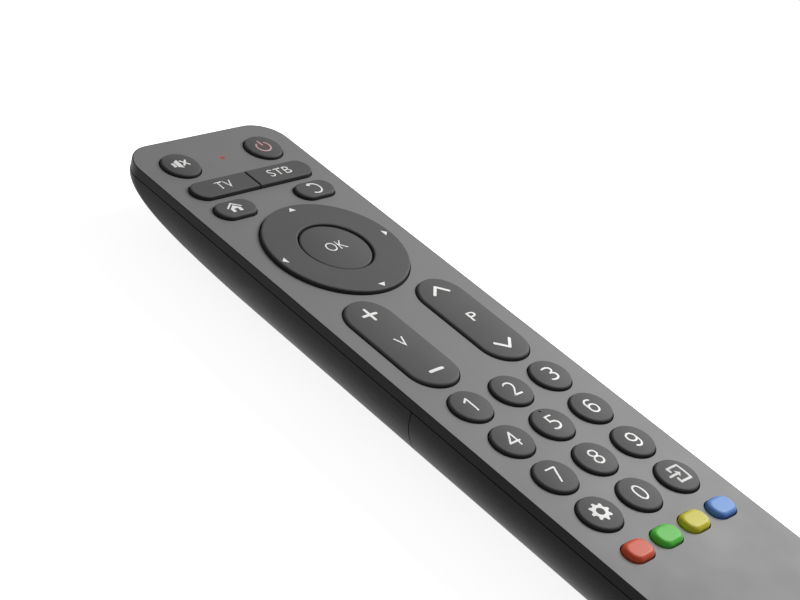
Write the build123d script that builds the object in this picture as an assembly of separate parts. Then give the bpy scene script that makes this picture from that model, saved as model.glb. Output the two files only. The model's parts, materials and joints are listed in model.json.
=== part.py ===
from build123d import *
import math
import os

# A universal remote control, 182 mm long, lying on its back with the keys up.
# Origin: the middle of its footprint, on the surface that it rests on.
# +Y points to the infrared end, +X to the right of the keypad, +Z out of the face. Millimetres.
# The face is as wide as its widest row of keys and its margins. The body is as long as the rows
# down to the case screws, the battery compartment behind them and the room of the rounded tail.

# Driving dimensions of the body
face_corner_radius = 8.0
side_margin = 5.05
top_margin = 5.85
tail_room = 15.9
band_height = 2.4
parting_reveal = 0.25
shell_wall = 1.5
panel_thickness = 0.8
panel_rim = 0.15
panel_gap = 0.05
face_wall = 1.2
rim_rounding = 0.12

# The lower hull is a stack of rounded rectangles that shrinks with depth
flank_power = 1.845
flat_depth_share = 0.838
nose_reach = 175.0
nose_power = 2.565
tail_reach = 30.0
tail_power = 2.2
corner_growth_share = 1.58
corner_limit_share = 0.97
hull_level_count = 9

# Battery cover
seam_gap = 0.22
cover_rail_width = 1.1
cover_rail_height = 1.0
rail_gap = 0.3
grip_groove_count = 6
grip_groove_pitch = 2.2
grip_groove_width = 1.1
grip_groove_depth = 0.45
grip_groove_length = 15.0
grip_from_seam = 8.0

# Inner casing parts
lip_depth = 1.4
lip_wall = 0.8
lip_clearance = 0.3
tray_thickness = 0.7
tray_clearance = 0.4
bulkhead_thickness = 1.2
compartment_wall = 1.0
compartment_wall_drop = 6.4
centre_rib_thickness = 0.4
post_radius = 2.2
post_from_top = 20.0
post_second_from_top = 74.0
post_spread = 15.0

# Cells and their contacts
cell_diameter = 10.5
cell_body_length = 43.6
cell_nub_length = 0.9
cell_nub_radius = 1.9
cell_edge_rounding = 0.5
cell_gap = 0.9
cell_side_clearance = 0.3
cell_clearance = 0.2
contact_thickness = 0.4
contact_width = 8.0
contact_height = 8.0
contact_seat_gap = 0.05
spring_length = 3.2
spring_base_radius = 3.1
spring_tip_radius = 2.1

# Circuit board and what is soldered to it
board_thickness = 1.0
board_inset = 3.0
board_tail_inset = 14.0
chip_length = 17.9
chip_width = 7.5
chip_height = 2.2
chip_leg_pitch = 1.27
chip_leg_count = 14
chip_leg_width = 0.42
chip_leg_reach = 1.4
chip_leg_thickness = 0.3
chip_leg_drop = 1.1
chip_from_top = 62.0
resonator_size = (7.0, 3.2, 4.4)
resonator_place = (10.5, 40.0)
capacitor_radius = 2.5
capacitor_length = 9.5
capacitor_place = (-11.0, 39.0)
capacitor_groove_depth = 0.3
capacitor_groove_width = 0.6
capacitor_groove_from_end = 1.4
resistor_size = (2.0, 1.25, 0.55)
resistor_count = 6
resistor_pitch = 3.4
resistors_from_top = 30.0
transistor_size = (2.9, 1.5, 1.1)
transistor_leg = (0.45, 0.9, 0.2)
transistor_leg_spread = 0.95
transistor_place = (7.5, 17.5)

# Infrared emitter and its window
emitter_radius = 1.5
emitter_length = 5.2
emitter_collar_radius = 1.8
emitter_collar_length = 0.8
emitter_wall_gap = 0.45
emitter_lead_width = 0.5
emitter_lead_spread = 0.9
emitter_lead_length = 1.2
emitter_notch_clearance = 0.4
window_width = 12.0
window_depth = 5.4
window_gap = 0.08

# Status light
light_radius = 0.45
light_collar_radius = 1.0
light_collar_height = 0.7
light_stand_off = 0.2
light_fit_gap = 0.05
diode_size = (0.9, 1.6, 0.9)
light_well_radius = 1.6

# Keypad mat and its carbon contacts
mat_thickness = 1.3
contact_pocket_radius = 2.3
contact_pocket_depth = 0.8
carbon_radius = 1.7
carbon_thickness = 0.35

# Screws and their bosses
screw_head_radius = 1.8
screw_head_height = 1.2
screw_shank_radius = 0.95
screw_shank_length = 4.4
screw_slot_width = 0.5
screw_slot_depth = 0.5
screw_running_gap = 0.05
boss_radius = 2.0
boss_gap = 0.25
boss_end_gap = 0.1
screw_seam_gap = 10.775
screw_wall_gap = 0.625

# What every key shares
key_height = 1.0
key_rise = 0.2
key_gap = 0.3
key_travel = 0.7
key_end_clearance = 0.1
key_rest_gap = 0.05
flange_width = 0.55
flange_thickness = 0.75

# Round keys: mute and power at the top, then the number grid
top_key_radius = 4.8
top_key_inset = 0.35
top_bar_gap = 2.9
round_key_crown = 0.34
round_key_edge_radius = 0.6
number_key_radius = 4.9
number_column_gap = 3.05
number_row_gap = 2.35
number_column_shares = (-1, 0, 1)
nub_radius = 0.32
nub_height = 0.22
nub_from_edge = 1.0

# Bar of two keys that is split in the middle
bar_length = 36.1
bar_height = 6.4
bar_slit = 0.3
bar_edge_radius = 0.4
bar_pill_gap = 2.45

# Stadium keys: home and back
pill_length = 11.1
pill_height = 6.2
pill_inset = 0.1
pill_edge_radius = 0.6
pill_ring_gap = 0.65

# Direction ring, its pivot frame and the round key in its middle
ring_outer_radius = 17.45
ring_inner_radius = 8.95
ring_rocker_gap = 0.75
ring_edge_radius = 0.5
ring_pocket_radius = 13.1
ring_pocket_depth = 1.3
frame_inner_radius = 10.7
frame_outer_radius = 12.6
frame_thickness = 0.8
pivot_radius = 0.6
pivot_gap = 0.05
middle_key_radius = 8.6
middle_key_crown = 0.5
middle_flange_thickness = 0.5

# Two long rockers
rocker_width = 13.0
rocker_length = 31.05
rocker_between_gap = 9.9
rocker_number_gap = 2.35
rocker_edge_radius = 0.7
rocker_crown_radius = 45.0
rocker_tab_length = 3.4
rocker_tab_thickness = 0.5
rocker_pivot_width = 0.6
rocker_pivot_gap = 0.1

# Four coloured keys
colour_key_width = 7.2
colour_key_height = 5.3
colour_key_corner = 2.4
colour_edge_radius = 1.1
colour_key_gap = 2.1
colour_column_shares = (-1.5, -0.5, 0.5, 1.5)
number_colour_gap = 3.55

# One overrun serves every cut
overrun = 1.0

# Heights, worked out from the rest face up
z_cell_axis = shell_wall + cell_clearance + cell_diameter / 2
z_tray_bottom = shell_wall + cell_diameter + 2 * cell_clearance
z_board_bottom = z_tray_bottom + tray_thickness
z_board_top = z_board_bottom + board_thickness
z_mat_top = z_board_top + mat_thickness
z_key_bottom = z_mat_top + key_travel + key_end_clearance
z_flange_top = z_key_bottom + flange_thickness
z_wall_bottom = z_flange_top + key_rest_gap
z_wall_top = z_wall_bottom + face_wall
z_face = z_wall_top + panel_thickness
z_key_top = z_face + key_height
z_raised_top = z_key_top + key_rise
z_parting = z_face - band_height
z_lower_top = z_parting - parting_reveal

# Places across the face
top_key_spread = bar_length / 2 - top_key_radius - top_key_inset
pill_spread = (bar_length - pill_length) / 2 - pill_inset
rocker_spread = (rocker_between_gap + rocker_width) / 2
number_column_pitch = 2 * number_key_radius + number_column_gap
colour_pitch = colour_key_width + colour_key_gap
widest_half_row = max(
    bar_length / 2,
    ring_outer_radius,
    rocker_spread + rocker_width / 2,
    number_column_pitch + number_key_radius,
    colour_column_shares[-1] * colour_pitch + colour_key_width / 2,
)
face_width = 2 * (widest_half_row + side_margin)

# Places along the body, as distances from its infrared end
number_row_pitch = 2 * number_key_radius + number_row_gap
top_row_from_top = top_margin + top_key_radius
bar_from_top = top_row_from_top + top_key_radius + top_bar_gap + bar_height / 2
pill_from_top = bar_from_top + (bar_height + pill_height) / 2 + bar_pill_gap
ring_from_top = pill_from_top + pill_height / 2 + pill_ring_gap + ring_outer_radius
rocker_from_top = ring_from_top + ring_outer_radius + ring_rocker_gap + rocker_length / 2
grid_from_top = rocker_from_top + rocker_length / 2 + rocker_number_gap + number_key_radius
last_row_from_top = grid_from_top + 3 * number_row_pitch
colour_from_top = last_row_from_top + number_key_radius + number_colour_gap + colour_key_height / 2
screw_from_top = grid_from_top + number_row_pitch / 2
seam_from_top = screw_from_top - screw_head_radius - screw_seam_gap
front_wall_from_top = screw_from_top + screw_head_radius + screw_wall_gap
compartment_from_top = front_wall_from_top + compartment_wall
cell_length = cell_body_length + cell_nub_length
compartment_length = cell_length + spring_length + 2 * (contact_thickness + contact_seat_gap)
face_length = compartment_from_top + compartment_length + tail_room

# The same places in the part's frame
y_top = face_length / 2
y_top_row = y_top - top_row_from_top
y_bar = y_top - bar_from_top
y_pill = y_top - pill_from_top
y_ring = y_top - ring_from_top
y_rocker = y_top - rocker_from_top
y_number_rows = [y_top - grid_from_top - row * number_row_pitch for row in range(4)]
y_colour = y_top - colour_from_top
y_seam = y_top - seam_from_top
y_compartment_front = y_top - compartment_from_top
y_compartment_back = y_compartment_front - compartment_length
screw_x = number_column_pitch / 2
screw_y = y_top - screw_from_top
cell_pitch = cell_diameter + cell_gap
compartment_half_width = (cell_pitch + cell_diameter) / 2 + cell_side_clearance

BASE = (Align.CENTER, Align.CENTER, Align.MIN)


def slab(x_low, x_high, y_low, y_high, z_low, z_high):
    """A box between its lowest and highest corners."""
    middle = Pos((x_low + x_high) / 2, (y_low + y_high) / 2, z_low)
    return middle * Box(x_high - x_low, y_high - y_low, z_high - z_low, align=BASE)


def disc(x, y, z_low, z_high, radius):
    """An upright cylinder."""
    return Pos(x, y, z_low) * Cylinder(radius, z_high - z_low, align=BASE)


def prism(sketch, x, y, z_low, z_high):
    """A sketch placed at (x, y) and pulled up from z_low to z_high."""
    return extrude(Pos(x, y, z_low) * sketch, amount=z_high - z_low)


def face_plan(inset, corner=face_corner_radius):
    """The outline of the face, drawn in by an even margin."""
    return RectangleRounded(face_width - 2 * inset, face_length - 2 * inset, corner)


def face_plate(inset, z_low, z_high, corner=face_corner_radius):
    """A plate of the face's outline, drawn in by an even margin."""
    return prism(face_plan(inset, corner), 0, 0, z_low, z_high)


def end_inset(share, reach, power):
    """How far an end of the hull is drawn in at a share of its law's depth."""
    return reach * (1 - (1 - share ** power) ** (1 / power))


def hull_section(level, inset):
    """One level of the lower hull: 0 at the parting line, 1 at the flat it rests on."""
    share = level * flat_depth_share
    half_width = face_width / 2 * (1 - share ** flank_power) ** (1 / flank_power)
    nose = end_inset(share, nose_reach, nose_power)
    tail = end_inset(share, tail_reach, tail_power)
    narrowing = min(face_width / 2 - half_width, nose)
    corner = face_corner_radius + corner_growth_share * narrowing
    width = 2 * (half_width - inset)
    length = face_length - nose - tail - 2 * inset
    corner = min(corner - inset, corner_limit_share * width / 2)
    return Pos(0, (tail - nose) / 2) * RectangleRounded(width, length, corner)


def hull(inset, z_floor):
    """The lower hull as one closed solid, drawn in by a margin and stopped at z_floor."""
    sections = []
    for index in reversed(range(hull_level_count)):
        level = math.sin(math.pi / 2 * index / (hull_level_count - 1))
        z = z_parting - level * (z_parting - z_floor)
        sections.append(Pos(0, 0, z) * hull_section(level, inset))
    return loft(sections)


# Key outlines, each a function of how much the outline grows


def round_outline(radius):
    return lambda grow: Circle(radius + grow)


def stadium_outline(length, height):
    return lambda grow: SlotOverall(length + 2 * grow, height + 2 * grow)


def upright_stadium_outline(length, width):
    return lambda grow: SlotOverall(length + 2 * grow, width + 2 * grow, rotation=90)


def block_outline(width, height, corner):
    return lambda grow: RectangleRounded(width + 2 * grow, height + 2 * grow, corner + grow)


top_key = round_outline(top_key_radius)
number_key = round_outline(number_key_radius)
pill_key = stadium_outline(pill_length, pill_height)
bar_key = stadium_outline(bar_length, bar_height)
rocker = upright_stadium_outline(rocker_length, rocker_width)
colour_key = block_outline(colour_key_width, colour_key_height, colour_key_corner)


def domed_key(radius, x, y, crown, flange_height):
    """A round key: a gently domed cap with a rolled edge, on a thin flange."""
    shoulder = radius - round_key_edge_radius
    z_shoulder = z_raised_top - crown
    z_edge = z_shoulder - round_key_edge_radius
    roll = round_key_edge_radius * math.sqrt(0.5)
    roll_point = (shoulder + roll, z_edge + roll)
    dome = ThreePointArc((0, z_raised_top), (shoulder / 2, z_raised_top - crown / 4),
                         (shoulder, z_shoulder))
    edge = ThreePointArc((shoulder, z_shoulder), roll_point, (radius, z_edge))
    wall = Polyline((radius, z_edge), (radius, z_key_bottom), (0, z_key_bottom), (0, z_raised_top))
    profile = Plane.XZ * make_face(dome + edge + wall)
    cap = revolve(profile, Axis.Z)
    flange = disc(0, 0, z_key_bottom, z_key_bottom + flange_height, radius + flange_width)
    return Pos(x, y) * (cap + flange)


def flat_key(outline, x, y, z_top, edge_radius):
    """A key with a flat top and a rounded edge, on a thin flange."""
    cap = prism(outline(0), x, y, z_key_bottom, z_top)
    cap = fillet(cap.faces().sort_by(Axis.Z)[-1].edges(), edge_radius)
    return cap + prism(outline(flange_width), x, y, z_key_bottom, z_flange_top)


def bar_half(side):
    """One half of the bar: side -1 is the left key, 1 the right one."""
    whole = bar_length / 2 + flange_width + overrun
    x_inner = side * bar_slit / 2
    x_outer = side * whole
    half_height = bar_height / 2 + flange_width + overrun
    keep = slab(
        min(x_inner, x_outer), max(x_inner, x_outer),
        y_bar - half_height, y_bar + half_height, z_key_bottom, z_key_top,
    )
    cap = prism(bar_key(0), 0, y_bar, z_key_bottom, z_key_top) & keep
    cap = fillet(cap.faces().sort_by(Axis.Z)[-1].edges(), bar_edge_radius)
    flange = prism(bar_key(flange_width), 0, y_bar, z_key_bottom, z_flange_top) & keep
    return cap + flange


def touch_key():
    """The middle number key: it carries a small nub that a finger can find."""
    y = y_number_rows[1]
    cap = domed_key(number_key_radius, 0, y, round_key_crown, flange_thickness)
    nub_off = number_key_radius - nub_from_edge
    off_share = nub_off / (number_key_radius - round_key_edge_radius)
    z_nub = z_raised_top - round_key_crown * off_share ** 2 + nub_height
    nub = disc(0, y + nub_off, z_face, z_nub, nub_radius)
    nub = fillet(nub.faces().sort_by(Axis.Z)[-1].edges(), nub_height / 2)
    return cap + nub


def rocker_key(side):
    """A long rocker with a crowned top and two short tabs that hold it in the casing."""
    x = side * rocker_spread
    body = prism(rocker(0), x, y_rocker, z_key_bottom, z_key_top)
    z_crown = z_key_top - rocker_crown_radius
    reach = rocker_length + 2 * overrun
    crown = Pos(x, y_rocker, z_crown) * Rot(90, 0, 0) * Cylinder(rocker_crown_radius, reach)
    body = body & crown
    top_edges = body.edges().filter_by(lambda edge: edge.center().Z > z_face)
    body = fillet(top_edges, rocker_edge_radius)
    half_width = rocker_width / 2 + flange_width
    half_tab = rocker_tab_length / 2
    z_tab = z_key_bottom + rocker_tab_thickness
    tabs = slab(x - half_width, x + half_width, y_rocker - half_tab, y_rocker + half_tab,
                z_key_bottom, z_tab)
    return body + tabs


def direction_ring():
    """The flat direction ring, hollow below where its pivot frame lies."""
    ring = disc(0, y_ring, z_key_bottom, z_key_top, ring_outer_radius)
    ring -= disc(0, y_ring, z_key_bottom - overrun, z_key_top + overrun, ring_inner_radius)
    ring = fillet(ring.faces().sort_by(Axis.Z)[-1].edges(), ring_edge_radius)
    z_pocket = z_key_bottom + ring_pocket_depth
    return ring - disc(0, y_ring, z_key_bottom - overrun, z_pocket, ring_pocket_radius)


def pivot_frame():
    """The washer under the ring: it rocks about Y, and the ring rocks about X on its nubs."""
    z_top = z_key_bottom + frame_thickness
    frame = disc(0, y_ring, z_key_bottom, z_top, frame_outer_radius)
    frame -= disc(0, y_ring, z_key_bottom - overrun, z_top + overrun, frame_inner_radius)
    pivot_x = (frame_inner_radius + frame_outer_radius) / 2
    z_nub = z_key_bottom + ring_pocket_depth - pivot_gap
    for side in (-1, 1):
        frame += disc(side * pivot_x, y_ring, z_top, z_nub, pivot_radius)
    return frame


# Every opening in the face: outline, x, y
openings = [
    (top_key, -top_key_spread, y_top_row),
    (top_key, top_key_spread, y_top_row),
    (bar_key, 0, y_bar),
    (pill_key, -pill_spread, y_pill),
    (pill_key, pill_spread, y_pill),
    (round_outline(ring_outer_radius), 0, y_ring),
    (rocker, -rocker_spread, y_rocker),
    (rocker, rocker_spread, y_rocker),
]
for row_y in y_number_rows:
    for column in number_column_shares:
        openings.append((number_key, column * number_column_pitch, row_y))
for column in colour_column_shares:
    openings.append((colour_key, column * colour_pitch, y_colour))

# Where each key closes its contact on the board
bar_contact_x = bar_length / 4
rocker_contact_y = rocker_length / 2 - rocker_width / 2
ring_contact_radius = (ring_pocket_radius + ring_outer_radius) / 2
contact_places = [
    (-top_key_spread, y_top_row),
    (top_key_spread, y_top_row),
    (-bar_contact_x, y_bar),
    (bar_contact_x, y_bar),
    (-pill_spread, y_pill),
    (pill_spread, y_pill),
    (0, y_ring),
]
for turn in range(4):
    angle = math.radians(90 * turn)
    dx = ring_contact_radius * math.cos(angle)
    contact_places.append((dx, y_ring + ring_contact_radius * math.sin(angle)))
for side in (-1, 1):
    for end in (-1, 1):
        contact_places.append((side * rocker_spread, y_rocker + end * rocker_contact_y))
for row_y in y_number_rows:
    for column in number_column_shares:
        contact_places.append((column * number_column_pitch, row_y))
for column in colour_column_shares:
    contact_places.append((column * colour_pitch, y_colour))

# Infrared emitter, worked out from the inside of the end wall
z_emitter = (z_board_bottom + z_board_top) / 2
emitter_level = (z_parting - z_emitter + emitter_radius) / (z_parting - shell_wall)
end_wall_inset = shell_wall + end_inset(emitter_level * flat_depth_share, nose_reach, nose_power)
y_emitter_tip = y_top - end_wall_inset - emitter_wall_gap
y_emitter_base = y_emitter_tip - emitter_length
y_emitter_lead_end = y_emitter_base - emitter_lead_length
emitter_notch_half = emitter_collar_radius + emitter_notch_clearance


def cut_openings(plate, z_low, z_high):
    """The plate with a hole for every key and for the status light."""
    z_under = z_low - overrun
    z_over = z_high + overrun
    cutters = [prism(outline(key_gap), x, y, z_under, z_over) for outline, x, y in openings]
    cutters.append(disc(0, y_top_row, z_under, z_over, light_radius + light_fit_gap))
    return plate - cutters


def front_panel():
    """The pale plate that is let into the top of the upper casing."""
    return cut_openings(face_plate(panel_rim + panel_gap, z_wall_top, z_face), z_wall_top, z_face)


def upper_casing():
    """Face wall, side band with its thin rim, inner lip and screw bosses."""
    casing = face_plate(0, z_parting, z_face)
    casing = fillet(casing.faces().sort_by(Axis.Z)[-1].edges(), rim_rounding)
    casing -= face_plate(panel_rim, z_wall_top, z_face + overrun)
    casing -= face_plate(shell_wall, z_parting - overrun, z_wall_bottom)
    lip_inset = shell_wall + lip_clearance
    lip = face_plate(lip_inset, z_parting - lip_depth, z_wall_bottom)
    lip -= face_plate(lip_inset + lip_wall, z_parting - lip_depth - overrun, z_wall_bottom + overrun)
    lip_end = y_top - lip_inset - lip_wall - overrun
    lip -= slab(-emitter_notch_half, emitter_notch_half, lip_end, y_top,
                z_parting - lip_depth - overrun, z_parting)
    casing += lip
    casing = cut_openings(casing, z_wall_bottom, z_face)
    for side in (-1, 1):
        z_end = z_board_bottom + boss_end_gap
        boss = disc(side * screw_x, screw_y, z_end, z_wall_bottom, boss_radius)
        bore = screw_shank_radius + screw_running_gap
        z_bore = z_board_bottom + screw_shank_length - tray_thickness
        casing += boss - disc(side * screw_x, screw_y, z_end - overrun, z_bore, bore)
    return casing


def window_cut(margin):
    """The space of the infrared window in the end wall, shrunk by a margin."""
    half = window_width / 2 - margin
    y_back = y_top - 2 * shell_wall - overrun
    return slab(-half, half, y_back, y_top + overrun, z_parting - window_depth + margin, z_lower_top)


outer_hull = hull(0, 0)
cavity = hull(shell_wall, shell_wall)
shell = (outer_hull - cavity) & slab(
    -face_width, face_width, -face_length, face_length, 0, z_lower_top)


def tray():
    """The shelf over the cells, with the walls of their compartment under it."""
    y_front = y_seam + bulkhead_thickness
    shelf = slab(-face_width / 2, face_width / 2, -y_top, y_front, z_tray_bottom, z_board_bottom)
    wall_out = compartment_half_width + compartment_wall
    z_low = z_tray_bottom - compartment_wall_drop
    walls = slab(-wall_out, wall_out, y_compartment_back - compartment_wall,
                 y_compartment_front + compartment_wall, z_low, z_tray_bottom)
    walls -= slab(-compartment_half_width, compartment_half_width, y_compartment_back,
                  y_compartment_front, z_low - overrun, z_tray_bottom)
    rib_half = centre_rib_thickness / 2
    y_rib_front = y_compartment_front - spring_length - contact_thickness
    y_rib_back = y_compartment_back + spring_length + contact_thickness
    rib = slab(-rib_half, rib_half, y_rib_back, y_rib_front, z_cell_axis, z_tray_bottom)
    whole = (shelf + walls + rib) & hull(shell_wall + tray_clearance, shell_wall + tray_clearance)
    for side in (-1, 1):
        hole = screw_shank_radius + screw_running_gap
        whole -= disc(side * screw_x, screw_y, z_tray_bottom - overrun, z_board_bottom + overrun, hole)
    return whole


def lower_casing():
    """The fixed part of the hull: its front half, the bulkhead, the tray and the board's posts."""
    y_edge = y_seam + seam_gap / 2
    casing = shell & slab(-face_width, face_width, y_edge, face_length, 0, z_face)
    inside = hull(shell_wall / 2, shell_wall / 2)
    bulkhead = slab(-face_width, face_width, y_edge, y_edge + bulkhead_thickness, 0, z_board_bottom)
    casing += bulkhead & inside
    for from_top in (post_from_top, post_second_from_top):
        for side in (-1, 1):
            post = disc(side * post_spread, y_top - from_top, 0, z_board_bottom, post_radius)
            casing += post & inside
    casing += tray()
    return casing - window_cut(0)


def battery_cover():
    """The sliding cover: hull behind the seam, with two inner rails and grip grooves below."""
    y_edge = y_seam - seam_gap / 2
    cover = shell & slab(-face_width, face_width, -face_length, y_edge, 0, z_face)
    z_rail_top = z_tray_bottom - rail_gap
    rail_space = slab(-face_width, face_width, y_compartment_back, y_edge,
                      z_rail_top - cover_rail_height, z_rail_top)
    rail_ring = hull(shell_wall / 2, shell_wall / 2) - hull(
        shell_wall + cover_rail_width, shell_wall + cover_rail_width)
    cover += rail_ring & rail_space
    for index in range(grip_groove_count):
        y = y_edge - grip_from_seam - index * grip_groove_pitch
        cover -= slab(-grip_groove_length / 2, grip_groove_length / 2, y - grip_groove_width / 2,
                      y + grip_groove_width / 2, -overrun, grip_groove_depth)
    return cover


def ir_window():
    """The dark window that closes the end wall in front of the emitter."""
    return shell & window_cut(window_gap)


def ir_emitter():
    """A small infrared diode that looks out of the end, with its two leads on the board."""
    body = Pos(0, y_emitter_base, z_emitter) * Rot(-90, 0, 0) * Cylinder(
        emitter_radius, emitter_length - emitter_radius, align=BASE)
    tip = Pos(0, y_emitter_tip - emitter_radius, z_emitter) * Sphere(emitter_radius)
    collar = Pos(0, y_emitter_base, z_emitter) * Rot(-90, 0, 0) * Cylinder(
        emitter_collar_radius, emitter_collar_length, align=BASE)
    whole = body + tip + collar
    for side in (-1, 1):
        x = side * emitter_lead_spread
        whole += slab(x - emitter_lead_width / 2, x + emitter_lead_width / 2, y_emitter_lead_end,
                      y_emitter_base, z_board_top, z_board_top + emitter_lead_width)
    return whole


def status_light_pipe():
    """The light pipe of the status light, from just over its diode to the face."""
    z_low = z_board_top + diode_size[2] + light_stand_off
    pipe = disc(0, y_top_row, z_low, z_face, light_radius)
    z_collar = z_wall_bottom - light_collar_height
    return pipe + disc(0, y_top_row, z_collar, z_wall_bottom, light_collar_radius)


def on_board_top(size, x, y):
    """A block that stands on the board."""
    return Pos(x, y, z_board_top) * Box(size[0], size[1], size[2], align=BASE)


def under_board(size, x, y):
    """A block that is soldered under the board."""
    return Pos(x, y, z_board_bottom - size[2]) * Box(size[0], size[1], size[2], align=BASE)


def keypad_mat():
    """The silicone mat: contact pockets below, pivot ridges above, holes where things pass."""
    mat = face_plate(board_inset, z_board_top, z_mat_top)
    mat -= slab(-face_width, face_width, -face_length, -y_top + board_tail_inset,
                z_board_top - overrun, z_mat_top + overrun)
    z_pocket = z_board_top + contact_pocket_depth
    mat -= [disc(x, y, z_board_top - overrun, z_pocket, contact_pocket_radius)
            for x, y in contact_places]
    mat -= disc(0, y_top_row, z_board_top - overrun, z_mat_top + overrun, light_well_radius)
    mat -= slab(-emitter_notch_half, emitter_notch_half, y_emitter_lead_end - emitter_notch_clearance,
                face_length, z_board_top - overrun, z_mat_top + overrun)
    for side in (-1, 1):
        mat -= disc(side * screw_x, screw_y, z_board_top - overrun, z_mat_top + overrun,
                    boss_radius + boss_gap)
        x = side * rocker_spread
        half = rocker_width / 2
        mat += slab(x - half, x + half, y_rocker - rocker_pivot_width / 2,
                    y_rocker + rocker_pivot_width / 2, z_mat_top, z_key_bottom - rocker_pivot_gap)
        pivot_y = (frame_inner_radius + frame_outer_radius) / 2
        mat += disc(0, y_ring + side * pivot_y, z_mat_top, z_key_bottom - pivot_gap, pivot_radius)
    return mat


def contact_pads():
    """One carbon pill in each pocket of the mat."""
    z_high = z_board_top + contact_pocket_depth
    pills = [disc(x, y, z_high - carbon_thickness, z_high, carbon_radius) for x, y in contact_places]
    return Part() + pills


def circuit_board():
    """The board, with a notch for the emitter and holes for the screw bosses."""
    board = face_plate(board_inset, z_board_bottom, z_board_top)
    board -= slab(-face_width, face_width, -face_length, -y_top + board_tail_inset,
                  z_board_bottom - overrun, z_board_top + overrun)
    board -= slab(-emitter_notch_half, emitter_notch_half, y_emitter_base - emitter_notch_clearance / 2,
                  face_length, z_board_bottom - overrun, z_board_top + overrun)
    for side in (-1, 1):
        board -= disc(side * screw_x, screw_y, z_board_bottom - overrun, z_board_top + overrun,
                      boss_radius + boss_gap)
    return board


def controller_chip():
    """The controller under the board, with two rows of bent legs."""
    y = y_top - chip_from_top
    z_body_top = z_board_bottom - chip_leg_thickness / 2
    body = Pos(0, y, z_body_top - chip_height) * Box(chip_width, chip_length, chip_height, align=BASE)
    legs = []
    for side in (-1, 1):
        for index in range(chip_leg_count):
            y_leg = y + (index - (chip_leg_count - 1) / 2) * chip_leg_pitch
            low = y_leg - chip_leg_width / 2
            high = y_leg + chip_leg_width / 2
            x_body = side * chip_width / 2
            x_end = side * (chip_width / 2 + chip_leg_reach)
            x_bend = side * (chip_width / 2 + chip_leg_reach / 2)
            z_leg = z_board_bottom - chip_leg_drop
            x_post = x_bend - side * chip_leg_thickness
            z_foot = z_board_bottom - chip_leg_thickness
            legs.append(slab(min(x_body, x_bend), max(x_body, x_bend), low, high,
                             z_leg - chip_leg_thickness, z_leg))
            legs.append(slab(min(x_post, x_bend), max(x_post, x_bend), low, high,
                             z_leg - chip_leg_thickness, z_board_bottom))
            legs.append(slab(min(x_post, x_end), max(x_post, x_end), low, high, z_foot, z_board_bottom))
    return body + legs


def resonator():
    """The ceramic resonator under the board."""
    x, from_top = resonator_place
    block = under_board(resonator_size, x, y_top - from_top)
    corner = min(resonator_size[0], resonator_size[1]) / 4
    return fillet(block.edges().filter_by(Axis.Z), corner)


def electrolytic_capacitor():
    """The buffer capacitor, lying against the underside of the board."""
    x, from_top = capacitor_place
    y_low = y_top - from_top - capacitor_length / 2
    place = Pos(x, y_low, z_board_bottom - capacitor_radius) * Rot(-90, 0, 0)
    can = Cylinder(capacitor_radius, capacitor_length, align=BASE)
    groove = Cylinder(capacitor_radius + overrun, capacitor_groove_width, align=BASE)
    groove -= Cylinder(capacitor_radius - capacitor_groove_depth, capacitor_groove_width, align=BASE)
    can -= Pos(0, 0, capacitor_groove_from_end) * groove
    return place * can


def chip_resistors():
    """A row of chip resistors under the board."""
    blocks = []
    for index in range(resistor_count):
        x = (index - (resistor_count - 1) / 2) * resistor_pitch
        blocks.append(under_board(resistor_size, x, y_top - resistors_from_top))
    return Part() + blocks


def transistor():
    """The driver transistor of the emitter, with three legs."""
    x, from_top = transistor_place
    y = y_top - from_top
    whole = under_board(transistor_size, x, y)
    reach = transistor_size[1] / 2 + transistor_leg[1] / 2
    for dx, side in ((-transistor_leg_spread, -1), (transistor_leg_spread, -1), (0, 1)):
        whole += under_board(transistor_leg, x + dx, y + side * reach)
    return whole


def case_screws():
    """Two screws that hold the casings together, reached with the battery cover off."""
    screws = []
    for side in (-1, 1):
        x = side * screw_x
        z_head = z_tray_bottom - screw_head_height
        head = disc(x, screw_y, z_head, z_tray_bottom, screw_head_radius)
        for turn in (0, 90):
            slot = Rot(0, 0, turn) * Box(2 * screw_shank_radius, screw_slot_width, screw_slot_depth,
                                         align=BASE)
            head -= Pos(x, screw_y, z_head) * slot
        shank = disc(x, screw_y, z_tray_bottom, z_tray_bottom + screw_shank_length - tray_thickness,
                     screw_shank_radius)
        screws.append(head + shank)
    return Part() + screws


def cell(side):
    """One cell: side -1 lies left with its nub forward, 1 lies right and the other way round."""
    can = Cylinder(cell_diameter / 2, cell_body_length, align=BASE)
    can = fillet(can.edges().filter_by(GeomType.CIRCLE), cell_edge_rounding)
    can += Pos(0, 0, cell_body_length) * Cylinder(cell_nub_radius, cell_nub_length, align=BASE)
    x = side * cell_pitch / 2
    if side < 0:
        y_base = y_compartment_back + contact_thickness + spring_length + contact_seat_gap
        return Pos(x, y_base, z_cell_axis) * Rot(-90, 0, 0) * can
    y_base = y_compartment_front - contact_thickness - spring_length - contact_seat_gap
    return Pos(x, y_base, z_cell_axis) * Rot(90, 0, 0) * can


def contact_blade(x_low, x_high, y_wall, away):
    """A flat contact against an end wall; away is the side that faces the cell."""
    y_face = y_wall + away * contact_thickness
    return slab(x_low, x_high, min(y_wall, y_face), max(y_wall, y_face),
                z_cell_axis - contact_height / 2, z_cell_axis + contact_height / 2)


def contact_spring(x, y_wall, away):
    """The outer shape of a conical contact spring on its blade."""
    turned = Rot(-90 * away, 0, 0)
    cone = Cone(spring_base_radius, spring_tip_radius, spring_length, align=BASE)
    return Pos(x, y_wall + away * contact_thickness, z_cell_axis) * turned * cone


def negative_contact():
    """Front right: the spring that presses on the right cell's base."""
    x = cell_pitch / 2
    blade = contact_blade(x - contact_width / 2, x + contact_width / 2, y_compartment_front, -1)
    return blade + contact_spring(x, y_compartment_front, -1)


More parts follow.
